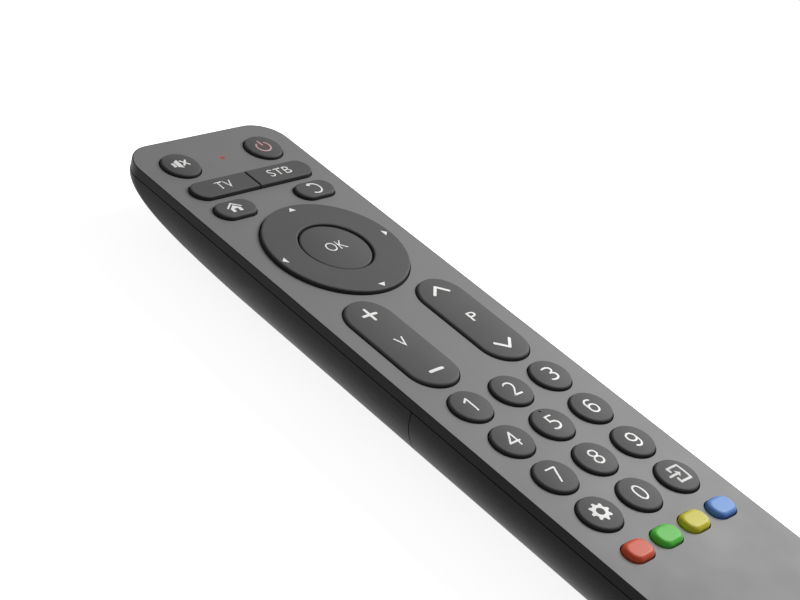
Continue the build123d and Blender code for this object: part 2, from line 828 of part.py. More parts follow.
def positive_contact():
    """Front left: the flat blade that the left cell's nub meets."""
    x = -cell_pitch / 2
    return contact_blade(x - contact_width / 2, x + contact_width / 2, y_compartment_front, -1)


def link_contact():
    """Back: one strip that joins both cells, a spring on the left and a flat on the right."""
    reach = cell_pitch / 2 + contact_width / 2
    blade = contact_blade(-reach, reach, y_compartment_back, 1)
    return blade + contact_spring(-cell_pitch / 2, y_compartment_back, 1)


def all_keys():
    """Every key by name."""
    keys = {
        "mute_key": domed_key(top_key_radius, -top_key_spread, y_top_row, round_key_crown,
                              flange_thickness),
        "power_key": domed_key(top_key_radius, top_key_spread, y_top_row, round_key_crown,
                               flange_thickness),
        "tv_key": bar_half(-1),
        "stb_key": bar_half(1),
        "home_key": flat_key(pill_key, -pill_spread, y_pill, z_key_top, pill_edge_radius),
        "back_key": flat_key(pill_key, pill_spread, y_pill, z_key_top, pill_edge_radius),
        "ok_key": domed_key(middle_key_radius, 0, y_ring, middle_key_crown, middle_flange_thickness),
        "dpad_ring": direction_ring(),
        "volume_rocker": rocker_key(-1),
        "programme_rocker": rocker_key(1),
    }
    grid = (("key_1", "key_2", "key_3"), ("key_4", "key_5", "key_6"), ("key_7", "key_8", "key_9"),
            ("settings_key", "key_0", "input_key"))
    for row_y, names in zip(y_number_rows, grid):
        for column, name in zip(number_column_shares, names):
            if name == "key_5":
                keys[name] = touch_key()
                continue
            keys[name] = domed_key(number_key_radius, column * number_column_pitch, row_y,
                                   round_key_crown, flange_thickness)
    for column, name in zip(colour_column_shares, ("red_key", "green_key", "yellow_key", "blue_key")):
        keys[name] = flat_key(colour_key, column * colour_pitch, y_colour, z_raised_top,
                              colour_edge_radius)
    return keys


parts = {
    "front_panel": front_panel(),
    "upper_casing": upper_casing(),
    "lower_casing": lower_casing(),
    "battery_cover": battery_cover(),
    "ir_window": ir_window(),
    "ir_emitter": ir_emitter(),
    "status_light_pipe": status_light_pipe(),
    "status_diode": on_board_top(diode_size, 0, y_top_row),
    "keypad_mat": keypad_mat(),
    "contact_pads": contact_pads(),
    "circuit_board": circuit_board(),
    "controller_chip": controller_chip(),
    "resonator": resonator(),
    "electrolytic_capacitor": electrolytic_capacitor(),
    "chip_resistors": chip_resistors(),
    "transistor": transistor(),
    "case_screws": case_screws(),
    "battery_left": cell(-1),
    "battery_right": cell(1),
    "negative_contact": negative_contact(),
    "positive_contact": positive_contact(),
    "link_contact": link_contact(),
    "dpad_frame": pivot_frame(),
}
parts.update(all_keys())

os.makedirs("parts", exist_ok=True)
for name, solid in parts.items():
    export_step(solid, os.path.join("parts", name + ".step"))
    print(name, round(solid.volume, 2))
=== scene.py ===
# %% [markdown]
# A remote control for a television, dressed for a studio picture.
# The construction comes as a fixed frame of separate pieces at their real size, in metres: +Y points to
# the infrared end, +Z out of the keys. This lesson gives each piece its finish, smooths the shells and
# keys, prints the legends on them, winds the battery springs and sets up the light and the camera.

# %% Load the frame
import json
import math

import bpy
from mathutils import Matrix, Vector


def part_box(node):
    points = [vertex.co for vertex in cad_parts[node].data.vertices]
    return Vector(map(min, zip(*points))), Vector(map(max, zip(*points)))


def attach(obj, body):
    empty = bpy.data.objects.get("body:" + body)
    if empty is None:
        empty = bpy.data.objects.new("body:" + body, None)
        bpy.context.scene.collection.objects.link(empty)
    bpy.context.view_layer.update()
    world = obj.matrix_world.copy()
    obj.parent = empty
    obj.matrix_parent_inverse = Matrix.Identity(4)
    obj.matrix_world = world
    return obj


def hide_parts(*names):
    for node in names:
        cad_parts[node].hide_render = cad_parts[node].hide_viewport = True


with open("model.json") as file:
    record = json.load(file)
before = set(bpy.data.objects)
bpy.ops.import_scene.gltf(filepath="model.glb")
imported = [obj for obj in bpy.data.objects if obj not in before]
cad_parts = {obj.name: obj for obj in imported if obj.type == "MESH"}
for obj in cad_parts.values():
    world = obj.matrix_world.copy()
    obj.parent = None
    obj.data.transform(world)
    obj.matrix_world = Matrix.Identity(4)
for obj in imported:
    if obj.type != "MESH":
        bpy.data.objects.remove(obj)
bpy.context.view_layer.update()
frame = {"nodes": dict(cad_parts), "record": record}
body_of = {node: body for body, nodes in frame["record"]["behaviour"]["bodies"].items() for node in nodes}
slot_of = {part["node"]: part["material_slot"] for part in frame["record"]["subparts"]}
MM = 0.001

# %% [markdown]
# Operators act on what is selected, and the loaded frame leaves everything selected. So each step here
# starts by selecting one object alone. These few helpers keep that in one place.

# %% Selecting, editing and applying
MERGE_DISTANCE = 0.002 * MM


def select_only(piece):
    """Makes one object the selected and the active one."""
    bpy.ops.object.select_all(action="DESELECT")
    piece.select_set(True)
    bpy.context.view_layer.objects.active = piece


def edit_all(piece):
    """Opens a mesh in edit mode with everything in it selected."""
    select_only(piece)
    bpy.ops.object.mode_set(mode="EDIT")
    bpy.ops.mesh.select_all(action="SELECT")


def close_edit():
    bpy.ops.object.mode_set(mode="OBJECT")


def add_and_apply(piece, kind, **settings):
    """Adds a modifier with its settings and applies it at once."""
    modifier = piece.modifiers.new(kind.lower(), kind)
    for name, value in settings.items():
        setattr(modifier, name, value)
    select_only(piece)
    bpy.ops.object.modifier_apply(modifier=modifier.name)


def join_all(pieces, name):
    """Joins objects into one mesh with a plain name."""
    select_only(pieces[0])
    for piece in pieces:
        piece.select_set(True)
    if len(pieces) > 1:
        bpy.ops.object.join()
    pieces[0].name = name
    return pieces[0]


def select_points(piece, wanted):
    """Selects the points for which wanted(place) is true, and opens edit mode."""
    select_only(piece)
    bpy.ops.object.mode_set(mode="EDIT")
    bpy.ops.mesh.select_mode(type="VERT")
    bpy.ops.mesh.select_all(action="DESELECT")
    bpy.ops.object.mode_set(mode="OBJECT")
    for vertex in piece.data.vertices:
        vertex.select = wanted(vertex.co)
    bpy.ops.object.mode_set(mode="EDIT")


def select_faces(piece, wanted):
    """Selects the faces for which wanted(face) is true, and opens edit mode."""
    select_only(piece)
    bpy.ops.object.mode_set(mode="EDIT")
    bpy.ops.mesh.select_mode(type="FACE")
    bpy.ops.mesh.select_all(action="DESELECT")
    bpy.ops.object.mode_set(mode="OBJECT")
    for face in piece.data.polygons:
        face.select = wanted(face)
    bpy.ops.object.mode_set(mode="EDIT")


print("helpers ready")

# %% [markdown]
# The shells and the keys come from moulds whose steel was lightly blasted, so each has the same very
# fine grain and slightly uneven gloss. These effects are used by many materials, so each is one node
# group with named inputs. They read Object coordinates, which stay with the piece in every view.

# %% Node helpers


def linear(red, green, blue):
    """A colour given as 0 to 255 on the screen, turned into light."""
    shares = [value / 255 for value in (red, green, blue)]
    return tuple(share / 12.92 if share < 0.04045 else ((share + 0.055) / 1.055) ** 2.4 for share in shares)


def add_node(tree, kind, values=None, **settings):
    """Adds a node, with settings and the values of its sockets."""
    made = tree.nodes.new(kind)
    for name, value in settings.items():
        setattr(made, name, value)
    for socket, value in (values or {}).items():
        made.inputs[socket].default_value = value
    return made


def new_group(name, inputs, outputs):
    """An empty node group with its sockets, and its two end nodes."""
    group = bpy.data.node_groups.new(name, "ShaderNodeTree")
    for label, kind, value in inputs:
        socket = group.interface.new_socket(name=label, in_out="INPUT", socket_type=kind)
        socket.default_value = value
    for label, kind in outputs:
        group.interface.new_socket(name=label, in_out="OUTPUT", socket_type=kind)
    return group, group.nodes.new("NodeGroupInput"), group.nodes.new("NodeGroupOutput")


def object_place(tree):
    """The place on the piece, in metres."""
    return tree.nodes.new("ShaderNodeTexCoord").outputs["Object"]


def place_group(tree, group, values):
    """Puts a node group into a material with its own values."""
    made = tree.nodes.new("ShaderNodeGroup")
    made.node_tree = group
    for socket, value in values.items():
        made.inputs[socket].default_value = value
    return made


print("node helpers ready")

# %% [markdown]
# Blasted grain is soft noise with pits about twice as fine laid over it. Its grains are about 0.2 mm
# apart. The group puts out a height, and each material turns it into a bump of its own depth.

# %% Group: mould grain
GRAIN_SCALE = 5000.0
PIT_FINENESS = 2.2
PIT_SHARE = 0.35


def mould_grain():
    group, start, end = new_group(
        "mould grain", [("Scale", "NodeSocketFloat", GRAIN_SCALE)], [("Height", "NodeSocketFloat")])
    coarse = add_node(group, "ShaderNodeTexNoise", {"Detail": 2.0, "Roughness": 0.6})
    finer = add_node(group, "ShaderNodeMath", {1: PIT_FINENESS}, operation="MULTIPLY")
    pits = add_node(group, "ShaderNodeTexVoronoi")
    total = add_node(group, "ShaderNodeMath", operation="MULTIPLY_ADD")
    place = object_place(group)
    group.links.new(place, coarse.inputs["Vector"])
    group.links.new(place, pits.inputs["Vector"])
    group.links.new(start.outputs["Scale"], coarse.inputs["Scale"])
    group.links.new(start.outputs["Scale"], finer.inputs[0])
    group.links.new(finer.outputs[0], pits.inputs["Scale"])
    total.inputs[1].default_value = PIT_SHARE
    group.links.new(pits.outputs[0], total.inputs[0])
    group.links.new(coarse.outputs[0], total.inputs[2])
    group.links.new(total.outputs[0], end.inputs["Height"])
    return group


grain_group = mould_grain()
print("made", grain_group.name)

# %% [markdown]
# No moulded face is one flat colour. Handling leaves broad, faint patches that are a little shinier and
# a little darker. One slow noise drives the colour, another the roughness.

# %% Group: uneven finish
NOISE_LOW = 0.3
NOISE_HIGH = 0.7
HANDLING_SLICE = 3.0


def uneven_finish():
    group, start, end = new_group(
        "uneven finish",
        [("Colour", "NodeSocketColor", (0.5, 0.5, 0.5, 1.0)), ("Colour spread", "NodeSocketFloat", 0.04),
         ("Roughness", "NodeSocketFloat", 0.5), ("Roughness spread", "NodeSocketFloat", 0.05),
         ("Scale", "NodeSocketFloat", 70.0)],
        [("Colour", "NodeSocketColor"), ("Roughness", "NodeSocketFloat")])
    place = object_place(group)
    patches = add_node(group, "ShaderNodeTexNoise", {"Detail": 4.0})
    handling = add_node(group, "ShaderNodeTexNoise", {"Detail": 6.0}, noise_dimensions="4D")
    handling.inputs["W"].default_value = HANDLING_SLICE
    for noise in (patches, handling):
        group.links.new(place, noise.inputs["Vector"])
        group.links.new(start.outputs["Scale"], noise.inputs["Scale"])
    noise_range = {"From Min": NOISE_LOW, "From Max": NOISE_HIGH, "To Min": -1.0}
    swing = add_node(group, "ShaderNodeMapRange", noise_range)
    gain = add_node(group, "ShaderNodeMath", {2: 1.0}, operation="MULTIPLY_ADD")
    tinted = add_node(group, "ShaderNodeVectorMath", operation="SCALE")
    group.links.new(patches.outputs[0], swing.inputs["Value"])
    group.links.new(swing.outputs[0], gain.inputs[0])
    group.links.new(start.outputs["Colour spread"], gain.inputs[1])
    group.links.new(start.outputs["Colour"], tinted.inputs[0])
    group.links.new(gain.outputs[0], tinted.inputs["Scale"])
    group.links.new(tinted.outputs[0], end.inputs["Colour"])
    sheen = add_node(group, "ShaderNodeMapRange", noise_range)
    rough = add_node(group, "ShaderNodeMath", operation="MULTIPLY_ADD")
    group.links.new(handling.outputs[0], sheen.inputs["Value"])
    group.links.new(sheen.outputs[0], rough.inputs[0])
    group.links.new(start.outputs["Roughness spread"], rough.inputs[1])
    group.links.new(start.outputs["Roughness"], rough.inputs[2])
    group.links.new(rough.outputs[0], end.inputs["Roughness"])
    return group


finish_group = uneven_finish()
print("made", finish_group.name)

# %% [markdown]
# The red glow of the status light and of the lamp behind the power key is painted into the plastic around
# them. One group gives a soft round spot at a chosen place of the face, and two materials use it.

# %% Group: lamp spot


def lamp_spot():
    group, start, end = new_group(
        "lamp spot",
        [("Centre", "NodeSocketVector", (0.0, 0.0, 0.0)), ("Radius", "NodeSocketFloat", 1.5 * MM)],
        [("Mask", "NodeSocketFloat")])
    apart = add_node(group, "ShaderNodeVectorMath", operation="SUBTRACT")
    flat = add_node(group, "ShaderNodeVectorMath", {1: (1.0, 1.0, 0.0)}, operation="MULTIPLY")
    length = add_node(group, "ShaderNodeVectorMath", operation="LENGTH")
    fade = add_node(group, "ShaderNodeMapRange", {"To Min": 1.0, "To Max": 0.0},
                    interpolation_type="SMOOTHSTEP")
    group.links.new(object_place(group), apart.inputs[0])
    group.links.new(start.outputs["Centre"], apart.inputs[1])
    group.links.new(apart.outputs[0], flat.inputs[0])
    group.links.new(flat.outputs[0], length.inputs[0])
    group.links.new(length.outputs["Value"], fade.inputs["Value"])
    group.links.new(start.outputs["Radius"], fade.inputs["From Max"])
    group.links.new(fade.outputs[0], end.inputs["Mask"])
    return group


spot_group = lamp_spot()
print("made", spot_group.name)

# %% [markdown]
# Every plastic and rubber part is the same recipe with other values: an uneven finish, a fine grain and
# a shader of its own. A helper builds that much, and the special materials add to what it returns.

# %% The base recipe


def finished(name, colour, roughness, spread=0.03, grain_scale=GRAIN_SCALE, grain_depth=0.006 * MM,
             specular=0.35, metallic=0.0):
    """A material with uneven colour and gloss over a fine grain."""
    material = bpy.data.materials.new(name)
    material.use_nodes = True
    tree = material.node_tree
    shader = tree.nodes["Principled BSDF"]
    shader.inputs["Specular IOR Level"].default_value = specular
    shader.inputs["Metallic"].default_value = metallic
    finish = place_group(tree, finish_group, {
        "Colour": (*colour, 1.0), "Colour spread": spread,
        "Roughness": roughness, "Roughness spread": roughness / 12})
    grain = place_group(tree, grain_group, {"Scale": grain_scale})
    bump = add_node(tree, "ShaderNodeBump", {"Strength": 1.0, "Distance": grain_depth})
    tree.links.new(finish.outputs["Colour"], shader.inputs["Base Color"])
    tree.links.new(finish.outputs["Roughness"], shader.inputs["Roughness"])
    tree.links.new(grain.outputs["Height"], bump.inputs["Height"])
    tree.links.new(bump.outputs["Normal"], shader.inputs["Normal"])
    return material


def mix_colour(material, mask, colour):
    """Lays a second colour over a finished material where the mask is 1."""
    tree = material.node_tree
    shader = tree.nodes["Principled BSDF"]
    under = shader.inputs["Base Color"].links[0].from_socket
    mix = add_node(tree, "ShaderNodeMix", data_type="RGBA")
    mix.inputs[7].default_value = (*colour, 1.0)
    tree.links.new(mask, mix.inputs[0])
    tree.links.new(under, mix.inputs[6])
    tree.links.new(mix.outputs[2], shader.inputs["Base Color"])
    return material


def share_of_range(tree, value, low, high, smooth=True):
    """0 below low, 1 above high, with a soft step between."""
    ranged = add_node(tree, "ShaderNodeMapRange", {"From Min": low, "From Max": high},
                      interpolation_type="SMOOTHSTEP" if smooth else "LINEAR")
    tree.links.new(value, ranged.inputs["Value"])
    return ranged.outputs[0]


def axis_value(tree, vector, axis):
    """One coordinate of a vector socket."""
    split = tree.nodes.new("ShaderNodeSeparateXYZ")
    tree.links.new(vector, split.inputs[0])
    return split.outputs[axis]


print("recipe ready")

# %% [markdown]
# The face plate is a mid grey, finely blasted plastic. A red glow of the status light is painted into its
# colour right round the light: the lamp spot is mixed over it at the light's place, which the frame gives.
# The keys are soft rubber. Their walls and rolled edges are painted darker than their tops, as painted
# shade for the narrow gap beside the face plate, and the surface's own direction tells one from the other.

# %% Face plate, casings and keys
# Radii and strengths of the painted red glow round the two lamps.
LIGHT_PAINTED_GLOW_RADIUS = 1.9 * MM
LIGHT_PAINTED_GLOW_STRENGTH = 0.35
POWER_PAINTED_GLOW_RADIUS = 3.2 * MM
POWER_PAINTED_GLOW_STRENGTH = 0.22
WALL_END = 0.25
TOP_START = 0.85


def middle_of(node):
    """The middle of a node's box."""
    low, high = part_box(node)
    return (low + high) / 2


def spot_over(material, centre, radius, strength, colour):
    """Mixes a painted red lamp glow into a material's colour."""
    tree = material.node_tree
    spot = place_group(tree, spot_group, {"Centre": centre, "Radius": radius})
    weaker = add_node(tree, "ShaderNodeMath", {1: strength}, operation="MULTIPLY")
    tree.links.new(spot.outputs["Mask"], weaker.inputs[0])
    return mix_colour(material, weaker.outputs[0], colour)


def panel_plastic():
    material = finished("panel plastic", linear(115, 115, 115), 0.55, spread=0.02)
    # The red spot round the status light is painted glow.
    return spot_over(material, middle_of("status_light_pipe"), LIGHT_PAINTED_GLOW_RADIUS, LIGHT_PAINTED_GLOW_STRENGTH,
                     linear(176, 66, 66))


def casing_plastic():
    return finished("casing plastic", linear(34, 34, 35), 0.4, grain_scale=4200.0,
                    grain_depth=0.008 * MM, specular=0.12)


def key_rubber(name, top, side, roughness=0.66, specular=0.22):
    """Rubber with its own colour on top and a second colour painted on its wall and rolled edge: painted
    shade on the grey keys, painted glow on the dyed ones.
    """
    material = finished(name, linear(*side), roughness, grain_scale=6500.0, specular=specular)
    tree = material.node_tree
    # Where the surface turns away from up, the wall colour shows: painted shade on grey keys, painted glow
    # on dyed keys.
    direction = tree.nodes.new("ShaderNodeTexCoord").outputs["Normal"]
    facing_up = share_of_range(tree, axis_value(tree, direction, "Z"), WALL_END, TOP_START)
    return mix_colour(material, facing_up, linear(*top))


# The top is the rubber's own grey; the darker wall colour is painted shade for the gap beside the face
# plate.
KEY_TOP = (79, 79, 79)
KEY_WALL_PAINTED_SHADE = (42, 42, 42)


def power_rubber():
    material = key_rubber("power key rubber", KEY_TOP, KEY_WALL_PAINTED_SHADE)
    # The red spot round the power lamp is painted glow.
    return spot_over(material, middle_of("power_key"), POWER_PAINTED_GLOW_RADIUS, POWER_PAINTED_GLOW_STRENGTH,
                     linear(140, 62, 62))


panel_material = panel_plastic()
casing_material = casing_plastic()
key_material = key_rubber("key rubber", KEY_TOP, KEY_WALL_PAINTED_SHADE)
power_material = power_rubber()
print("body materials:", panel_material.name, casing_material.name, key_material.name)

# %% [markdown]
# The four coloured keys are moulded in dyed, slightly clear rubber. The glow of light coming out at the
# rolled edge is painted there as a brighter colour than on top, unlike the painted shade on the grey keys'
# walls.

# %% Coloured keys
# Each pair is the dye on top, then the wall colour with painted glow.
dye_and_painted_glow_colours = {
    "red_key": ((198, 66, 26), (222, 88, 56)),
    "green_key": ((66, 174, 34), (80, 204, 66)),
    "yellow_key": ((187, 180, 12), (220, 210, 34)),
    "blue_key": ((88, 134, 200), (70, 122, 206)),
}
dyed_materials = {
    node: key_rubber(node.replace("key", "rubber"), top, side, roughness=0.5, specular=0.35)
    for node, (top, side) in dye_and_painted_glow_colours.items()
}
print("dyed:", sorted(dyed_materials))

# %% [markdown]
# White ink is printed on the keys in a thin, slightly raised film. The power mark's colour is pink as
# painted glow of the red lamp behind it, and the input mark is printed in a greyer ink.

# %% Inks, lamp and window


def glowing(material, colour, strength):
    shader = material.node_tree.nodes["Principled BSDF"]
    shader.inputs["Emission Color"].default_value = (*colour, 1.0)
    shader.inputs["Emission Strength"].default_value = strength
    return material


def window_plastic():
    material = finished("window plastic", linear(38, 14, 18), 0.12, spread=0.02, grain_depth=0.001 * MM,
                        specular=0.5)
    material.node_tree.nodes["Principled BSDF"].inputs["Coat Weight"].default_value = 0.5
    return material


white_ink = finished("white ink", linear(236, 236, 234), 0.5, spread=0.015)
# The pink is painted glow from the red lamp behind the power mark.
lamp_glow_ink = finished("lamp glow ink", linear(196, 164, 162), 0.5, spread=0.02)
grey_ink = finished("grey ink", linear(206, 206, 204), 0.5, spread=0.02)
lamp_material = glowing(finished("lamp red", linear(120, 20, 24), 0.3), linear(200, 30, 34), 0.25)
window_material = window_plastic()
print("inks:", white_ink.name, lamp_glow_ink.name, grey_ink.name)

# %% [markdown]
# Inside are a board, chips, cells and contacts. Most are seen only when the battery cover is off or the
# casing is taken apart, but each still gets the finish of its real material.

# %% Inner materials
BARE_METAL = linear(196, 196, 190)
LEG_REACH = 1.4 * MM
LEAD_LENGTH = 1.2 * MM
METAL_STEP = 0.02 * MM
TRACK_SCALE = 420.0
TRACK_CORE = 0.03
TRACK_EDGE = 0.06


def board_mask():
    """Green solder mask over copper: thin raised tracks show through it as lighter lines."""
    material = finished("solder mask", linear(28, 96, 54), 0.3, spread=0.06, grain_depth=0.002 * MM)
    tree = material.node_tree
    tracks = add_node(tree, "ShaderNodeTexVoronoi", {"Scale": TRACK_SCALE}, feature="DISTANCE_TO_EDGE",
                      distance="CHEBYCHEV")
    tree.links.new(object_place(tree), tracks.inputs["Vector"])
    line = add_node(tree, "ShaderNodeMapRange", {"From Min": TRACK_CORE, "From Max": TRACK_EDGE,
                                                 "To Min": 1.0, "To Max": 0.0})
    tree.links.new(tracks.outputs[0], line.inputs["Value"])
    return mix_colour(material, line.outputs[0], linear(66, 148, 84))


def with_metal(material, mask, colour):
    """Turns a material into bare metal where the mask is 1."""
    tree = material.node_tree
    tree.links.new(mask, tree.nodes["Principled BSDF"].inputs["Metallic"])
    return mix_colour(material, mask, colour)


def chip_epoxy():
    """Black epoxy with tinned legs: the legs lie further out than the body's side."""
    material = finished("chip epoxy", linear(42, 42, 44), 0.55, grain_depth=0.01 * MM)
    tree = material.node_tree
    across = add_node(tree, "ShaderNodeMath", operation="ABSOLUTE")
    tree.links.new(axis_value(tree, object_place(tree), "X"), across.inputs[0])
    body_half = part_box("controller_chip")[1].x - LEG_REACH
    legs = share_of_range(tree, across.outputs[0], body_half, body_half + METAL_STEP)
    return with_metal(material, legs, BARE_METAL)


def emitter_epoxy():
    """Clear bluish epoxy with bare steel leads behind it."""
    material = finished("emitter epoxy", linear(150, 160, 186), 0.08, grain_depth=0.0005 * MM, specular=0.6)
    tree = material.node_tree
    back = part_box("ir_emitter")[0].y + LEAD_LENGTH
    along = axis_value(tree, object_place(tree), "Y")
    behind = add_node(tree, "ShaderNodeMapRange", {"From Min": back - METAL_STEP, "From Max": back,
                                                   "To Min": 1.0, "To Max": 0.0})
    tree.links.new(along, behind.inputs["Value"])
    return with_metal(material, behind.outputs[0], BARE_METAL)


def brushed_metal(name, colour, roughness):
    """Rolled metal: grain stretched along Y by a mapping node, so that it reads as brushing."""
    material = finished(name, colour, roughness, spread=0.05, metallic=1.0, grain_depth=0.002 * MM)
    tree = material.node_tree
    mapping = add_node(tree, "ShaderNodeMapping", {"Scale": (1.0, 0.06, 1.0)})
    streaks = add_node(tree, "ShaderNodeTexNoise", {"Scale": 3000.0, "Detail": 3.0})
    tree.links.new(object_place(tree), mapping.inputs["Vector"])
    tree.links.new(mapping.outputs[0], streaks.inputs["Vector"])
    bump = next(node for node in tree.nodes if node.bl_idname == "ShaderNodeBump")
    tree.links.new(streaks.outputs[0], bump.inputs["Height"])
    return material


inner_materials = {
    "ir_emitter": emitter_epoxy(),
    "status_diode": finished("diode ceramic", linear(232, 228, 210), 0.35),
    "keypad_mat": finished("mat silicone", linear(112, 112, 116), 0.55, grain_scale=3500.0, spread=0.05),
    "contact_pads": finished("carbon pill", linear(34, 34, 35), 0.8, grain_depth=0.015 * MM),
    "circuit_board": board_mask(),
    "controller_chip": chip_epoxy(),
    "resonator": finished("resonator dip", linear(214, 146, 62), 0.2, grain_depth=0.002 * MM, spread=0.06),
    "electrolytic_capacitor": finished("capacitor sleeve", linear(34, 42, 74), 0.28, spread=0.05),
    "chip_resistors": finished("resistor coat", linear(38, 38, 42), 0.3, spread=0.06),
    "transistor": finished("transistor epoxy", linear(42, 42, 44), 0.55, grain_depth=0.01 * MM),
    "case_screws": brushed_metal("zinc plate", BARE_METAL, 0.32),
    "dpad_frame": finished("pivot plastic", linear(226, 226, 220), 0.45),
}
nickel_material = brushed_metal("nickel plate", linear(206, 202, 192), 0.24)
print("inner materials:", len(inner_materials) + 1)

# %% [markdown]
# A cell is a steel can in a printed wrap. The wrap ends short of the flat ends, and a lighter band marks
# the end with the nub. Both follow the cell's own length, so the two cells share one function.

# %% Cell wraps
BAND_LENGTH = 12.0 * MM
BAND_FADE = 0.05 * MM


def cell_wrap(node, nub_side):
    low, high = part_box(node)
    material = finished(node + " wrap", linear(46, 66, 92), 0.22, spread=0.03, grain_depth=0.001 * MM)
    tree = material.node_tree
    along = axis_value(tree, object_place(tree), "Y")
    nub_end = high.y if nub_side > 0 else low.y
    band_edge = nub_end - nub_side * BAND_LENGTH
    band = add_node(tree, "ShaderNodeMapRange", {"From Min": band_edge,
                                                 "From Max": band_edge + nub_side * BAND_FADE})
    tree.links.new(along, band.inputs["Value"])
    mix_colour(material, band.outputs[0], linear(196, 150, 92))
    facing = add_node(tree, "ShaderNodeMath", operation="ABSOLUTE")
    direction = tree.nodes.new("ShaderNodeTexCoord").outputs["Normal"]
    tree.links.new(axis_value(tree, direction, "Y"), facing.inputs[0])
    return with_metal(material, share_of_range(tree, facing.outputs[0], 0.8, 0.9), linear(200, 200, 196))


NUB_SIDES = {"battery_left": 1, "battery_right": -1}
cell_materials = {node: cell_wrap(node, nub_side) for node, nub_side in NUB_SIDES.items()}
print("cells:", sorted(cell_materials))

# %% [markdown]
# The frame's meshes are loose triangles with hard facets. A rounded shell or key looks right only when
# its triangles are joined and shaded smooth, with its real edges kept sharp. So each visible shell and
# key gets a joined copy that stands for it. Weighting the normals by area keeps flat tops flat beside
# their rolled edges.

# %% Smooth shells and keys
SMOOTH_ANGLE = math.radians(32)


def dressed(node, material, angle=SMOOTH_ANGLE):
    """A joined and smoothly shaded copy that stands for a CAD node."""
    piece = bpy.data.objects.new(node + "_skin", frame["nodes"][node].data.copy())
    bpy.context.scene.collection.objects.link(piece)
    select_only(piece)
    bpy.ops.mesh.customdata_custom_splitnormals_clear()
    edit_all(piece)
    bpy.ops.mesh.remove_doubles(threshold=MERGE_DISTANCE)
    close_edit()
    bpy.ops.object.shade_smooth_by_angle(angle=angle)
    add_and_apply(piece, "WEIGHTED_NORMAL", keep_sharp=True, weight=80)
    piece.data.materials.clear()
    piece.data.materials.append(material)
    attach(piece, body_of[node])
    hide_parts(node)
    return piece


shell_materials = {
    "front_panel": panel_material,
    "upper_casing": casing_material,
    "lower_casing": casing_material,
    "battery_cover": casing_material,
    "ir_window": window_material,
    "status_light_pipe": lamp_material,
}
key_nodes = [node for node, slot in slot_of.items() if slot.endswith("rubber")]
skins = {node: dressed(node, material) for node, material in shell_materials.items()}
for node in key_nodes:
    rubber = power_material if node == "power_key" else dyed_materials.get(node, key_material)
    skins[node] = dressed(node, rubber)
for node, material in cell_materials.items():
    skins[node] = dressed(node, material)
skin_faces = sum(len(skin.data.polygons) for skin in skins.values())
print("smooth copies:", len(skins), "with", skin_faces, "faces")

# %% Pieces that keep their CAD shape
for node, material in inner_materials.items():
    mesh = frame["nodes"][node].data
    mesh.materials.clear()
    mesh.materials.append(material)
print("kept CAD shapes:", len(inner_materials))

# %% [markdown]
# A legend is drawn flat at the origin in strokes with round ends, as a sign painter would. A stroke
# starts as a small disc, and the half of the disc that looks along the stroke is moved to its far end.
# An arc starts as a circle that is extruded outward, and the faces in its gap are deleted.

# %% Strokes, arcs and flat shapes
DISC_POINTS = 16
ARC_POINTS = 72


def stroke(start, end, width):
    """A flat stroke with round ends, from start to end, in millimetres."""
    bpy.ops.object.select_all(action="DESELECT")
    bpy.ops.mesh.primitive_circle_add(vertices=DISC_POINTS, radius=width / 2 * MM, fill_type="NGON")
    piece = bpy.context.object
    way = Vector((end[0] - start[0], end[1] - start[1], 0)) * MM
    angle = math.atan2(way.y, way.x)
    piece.data.transform(Matrix.Rotation(angle + math.pi / DISC_POINTS, 4, "Z"))
    if way.length > 0:
        select_points(piece, lambda place: place.dot(way) > 0)
        bpy.ops.transform.translate(value=way)
        close_edit()
    piece.data.transform(Matrix.Translation(Vector((start[0], start[1], 0)) * MM))
    return piece


def arc(centre, radius, width, start, sweep):
    """A flat round band with round ends. Angles in degrees, counted from +X."""
    bpy.ops.object.select_all(action="DESELECT")
    inner = radius - width / 2
    bpy.ops.mesh.primitive_circle_add(vertices=ARC_POINTS, radius=inner * MM, fill_type="NOTHING")
    piece = bpy.context.object
    edit_all(piece)
    bpy.ops.mesh.extrude_edges_move()
    grow = (inner + width) / inner
    bpy.ops.transform.resize(value=(grow, grow, 1), center_override=(0, 0, 0))
    close_edit()
    if sweep < 360:
        def in_gap(face):
            turned = math.degrees(math.atan2(face.center.y, face.center.x)) - start
            return turned % 360 > sweep

        select_faces(piece, in_gap)
        bpy.ops.mesh.delete(type="FACE")
        close_edit()
    piece.data.transform(Matrix.Translation(Vector((centre[0], centre[1], 0)) * MM))
    return piece


def flat_shape(points):
    """A flat face with the given corners: a circle of as many points, moved corner by corner."""
    bpy.ops.object.select_all(action="DESELECT")
    bpy.ops.mesh.primitive_circle_add(vertices=len(points), radius=MM, fill_type="NGON")
    piece = bpy.context.object
    for vertex, point in zip(piece.data.vertices, points):
        vertex.co = Vector((point[0], point[1], 0)) * MM
    return piece


def words(text, height, width, centre=(0, 0), weight=0.0):
    """Plain letters or a digit of a given height and width, centred on a point."""
    bpy.ops.object.select_all(action="DESELECT")
    bpy.ops.object.text_add()
    piece = bpy.context.object
    piece.data.body = text
    piece.data.offset = weight
    bpy.ops.object.convert(target="MESH")
    piece = bpy.context.object
    across = [vertex.co.x for vertex in piece.data.vertices]
    up = [vertex.co.y for vertex in piece.data.vertices]
    middle = Vector(((min(across) + max(across)) / 2, (min(up) + max(up)) / 2, 0))
    wider = width * MM / (max(across) - min(across))
    taller = height * MM / (max(up) - min(up))
    piece.data.transform(Matrix.Translation(-middle))
    piece.data.transform(Matrix.Diagonal((wider, taller, 1, 1)))
    piece.data.transform(Matrix.Translation(Vector((centre[0], centre[1], 0)) * MM))
    return piece


print("drawing tools ready")

